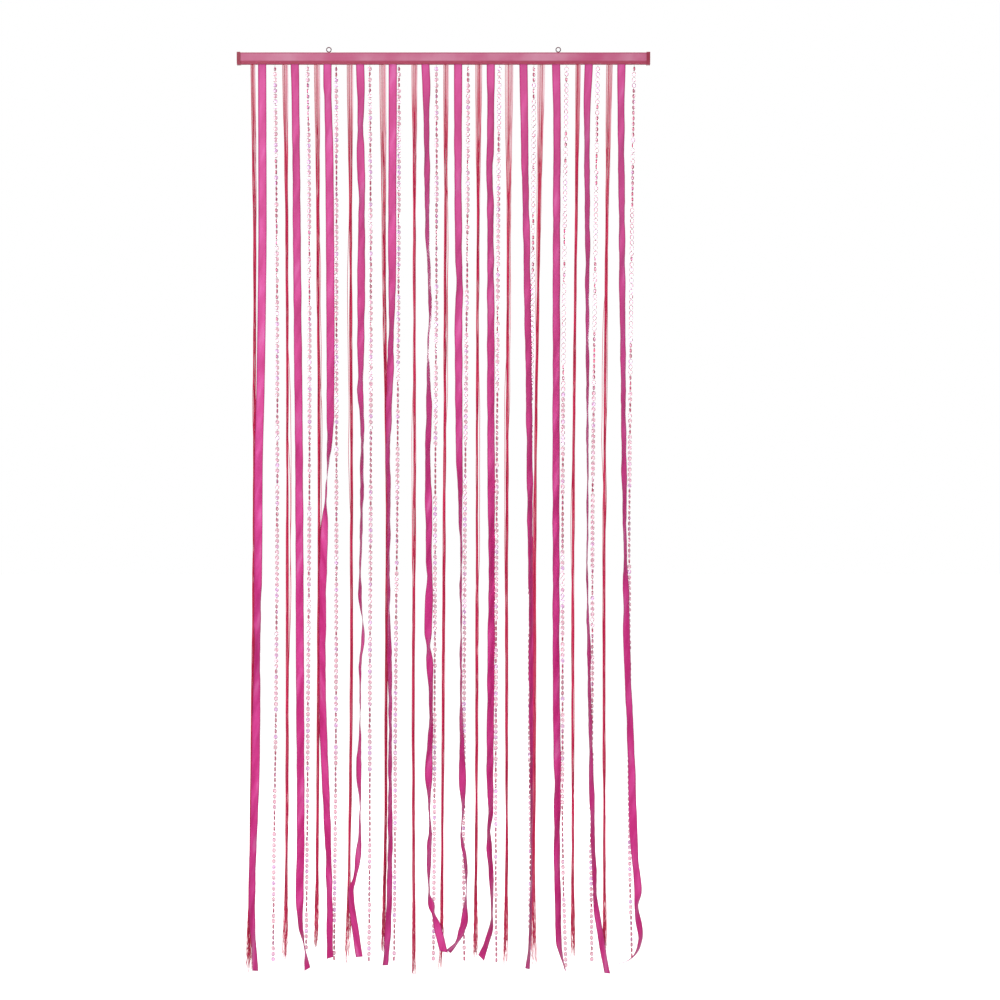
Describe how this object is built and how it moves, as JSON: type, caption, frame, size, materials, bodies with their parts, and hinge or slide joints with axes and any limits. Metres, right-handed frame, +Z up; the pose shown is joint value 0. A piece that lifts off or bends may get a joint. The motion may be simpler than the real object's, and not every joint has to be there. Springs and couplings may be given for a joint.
{
  "type": "ribbon door curtain on a hanging rail",
  "caption": "Door curtain: a slim plastic rail with screw eyes, hung with satin ribbons, yarn bundles and strings of flat faceted beads.",
  "frame": {"origin": "middle of the rail's top face, between the two screw eyes", "axes": "+Z up, along the hanging pieces; +X along the rail; -Y towards the viewer of the front"},
  "size_m": [0.9, 0.0368, 2.026],
  "materials": {
    "rail": "dusky pink extruded plastic, satin",
    "cap": "deeper pink moulded plastic, satin",
    "eye": "bright plated wire",
    "ribbon": "magenta satin-edged woven ribbon",
    "yarn": "crimson knitted cord",
    "beads": "clear pink faceted acrylic with a pearly coating"
  },
  "bodies": {
    "root": {"rail": "rail", "cap_left": "cap", "cap_right": "cap", "eye_left": "eye", "eye_right": "eye", "ribbon_01": "ribbon", "ribbon_02": "ribbon", "ribbon_03": "ribbon", "ribbon_04": "ribbon", "ribbon_05": "ribbon", "ribbon_06": "ribbon", "ribbon_07": "ribbon", "ribbon_08": "ribbon", "ribbon_09": "ribbon", "ribbon_10": "ribbon", "ribbon_11": "ribbon", "ribbon_12": "ribbon", "yarn_01": "yarn", "yarn_02": "yarn", "yarn_03": "yarn", "yarn_04": "yarn", "yarn_05": "yarn", "yarn_06": "yarn", "yarn_07": "yarn", "yarn_08": "yarn", "yarn_09": "yarn", "yarn_10": "yarn", "yarn_11": "yarn", "yarn_12": "yarn", "beads_01": "beads", "beads_02": "beads", "beads_03": "beads", "beads_04": "beads", "beads_05": "beads", "beads_06": "beads", "beads_07": "beads", "beads_08": "beads", "beads_09": "beads", "beads_10": "beads", "beads_11": "beads", "beads_12": "beads"}
  },
  "joints": []
}
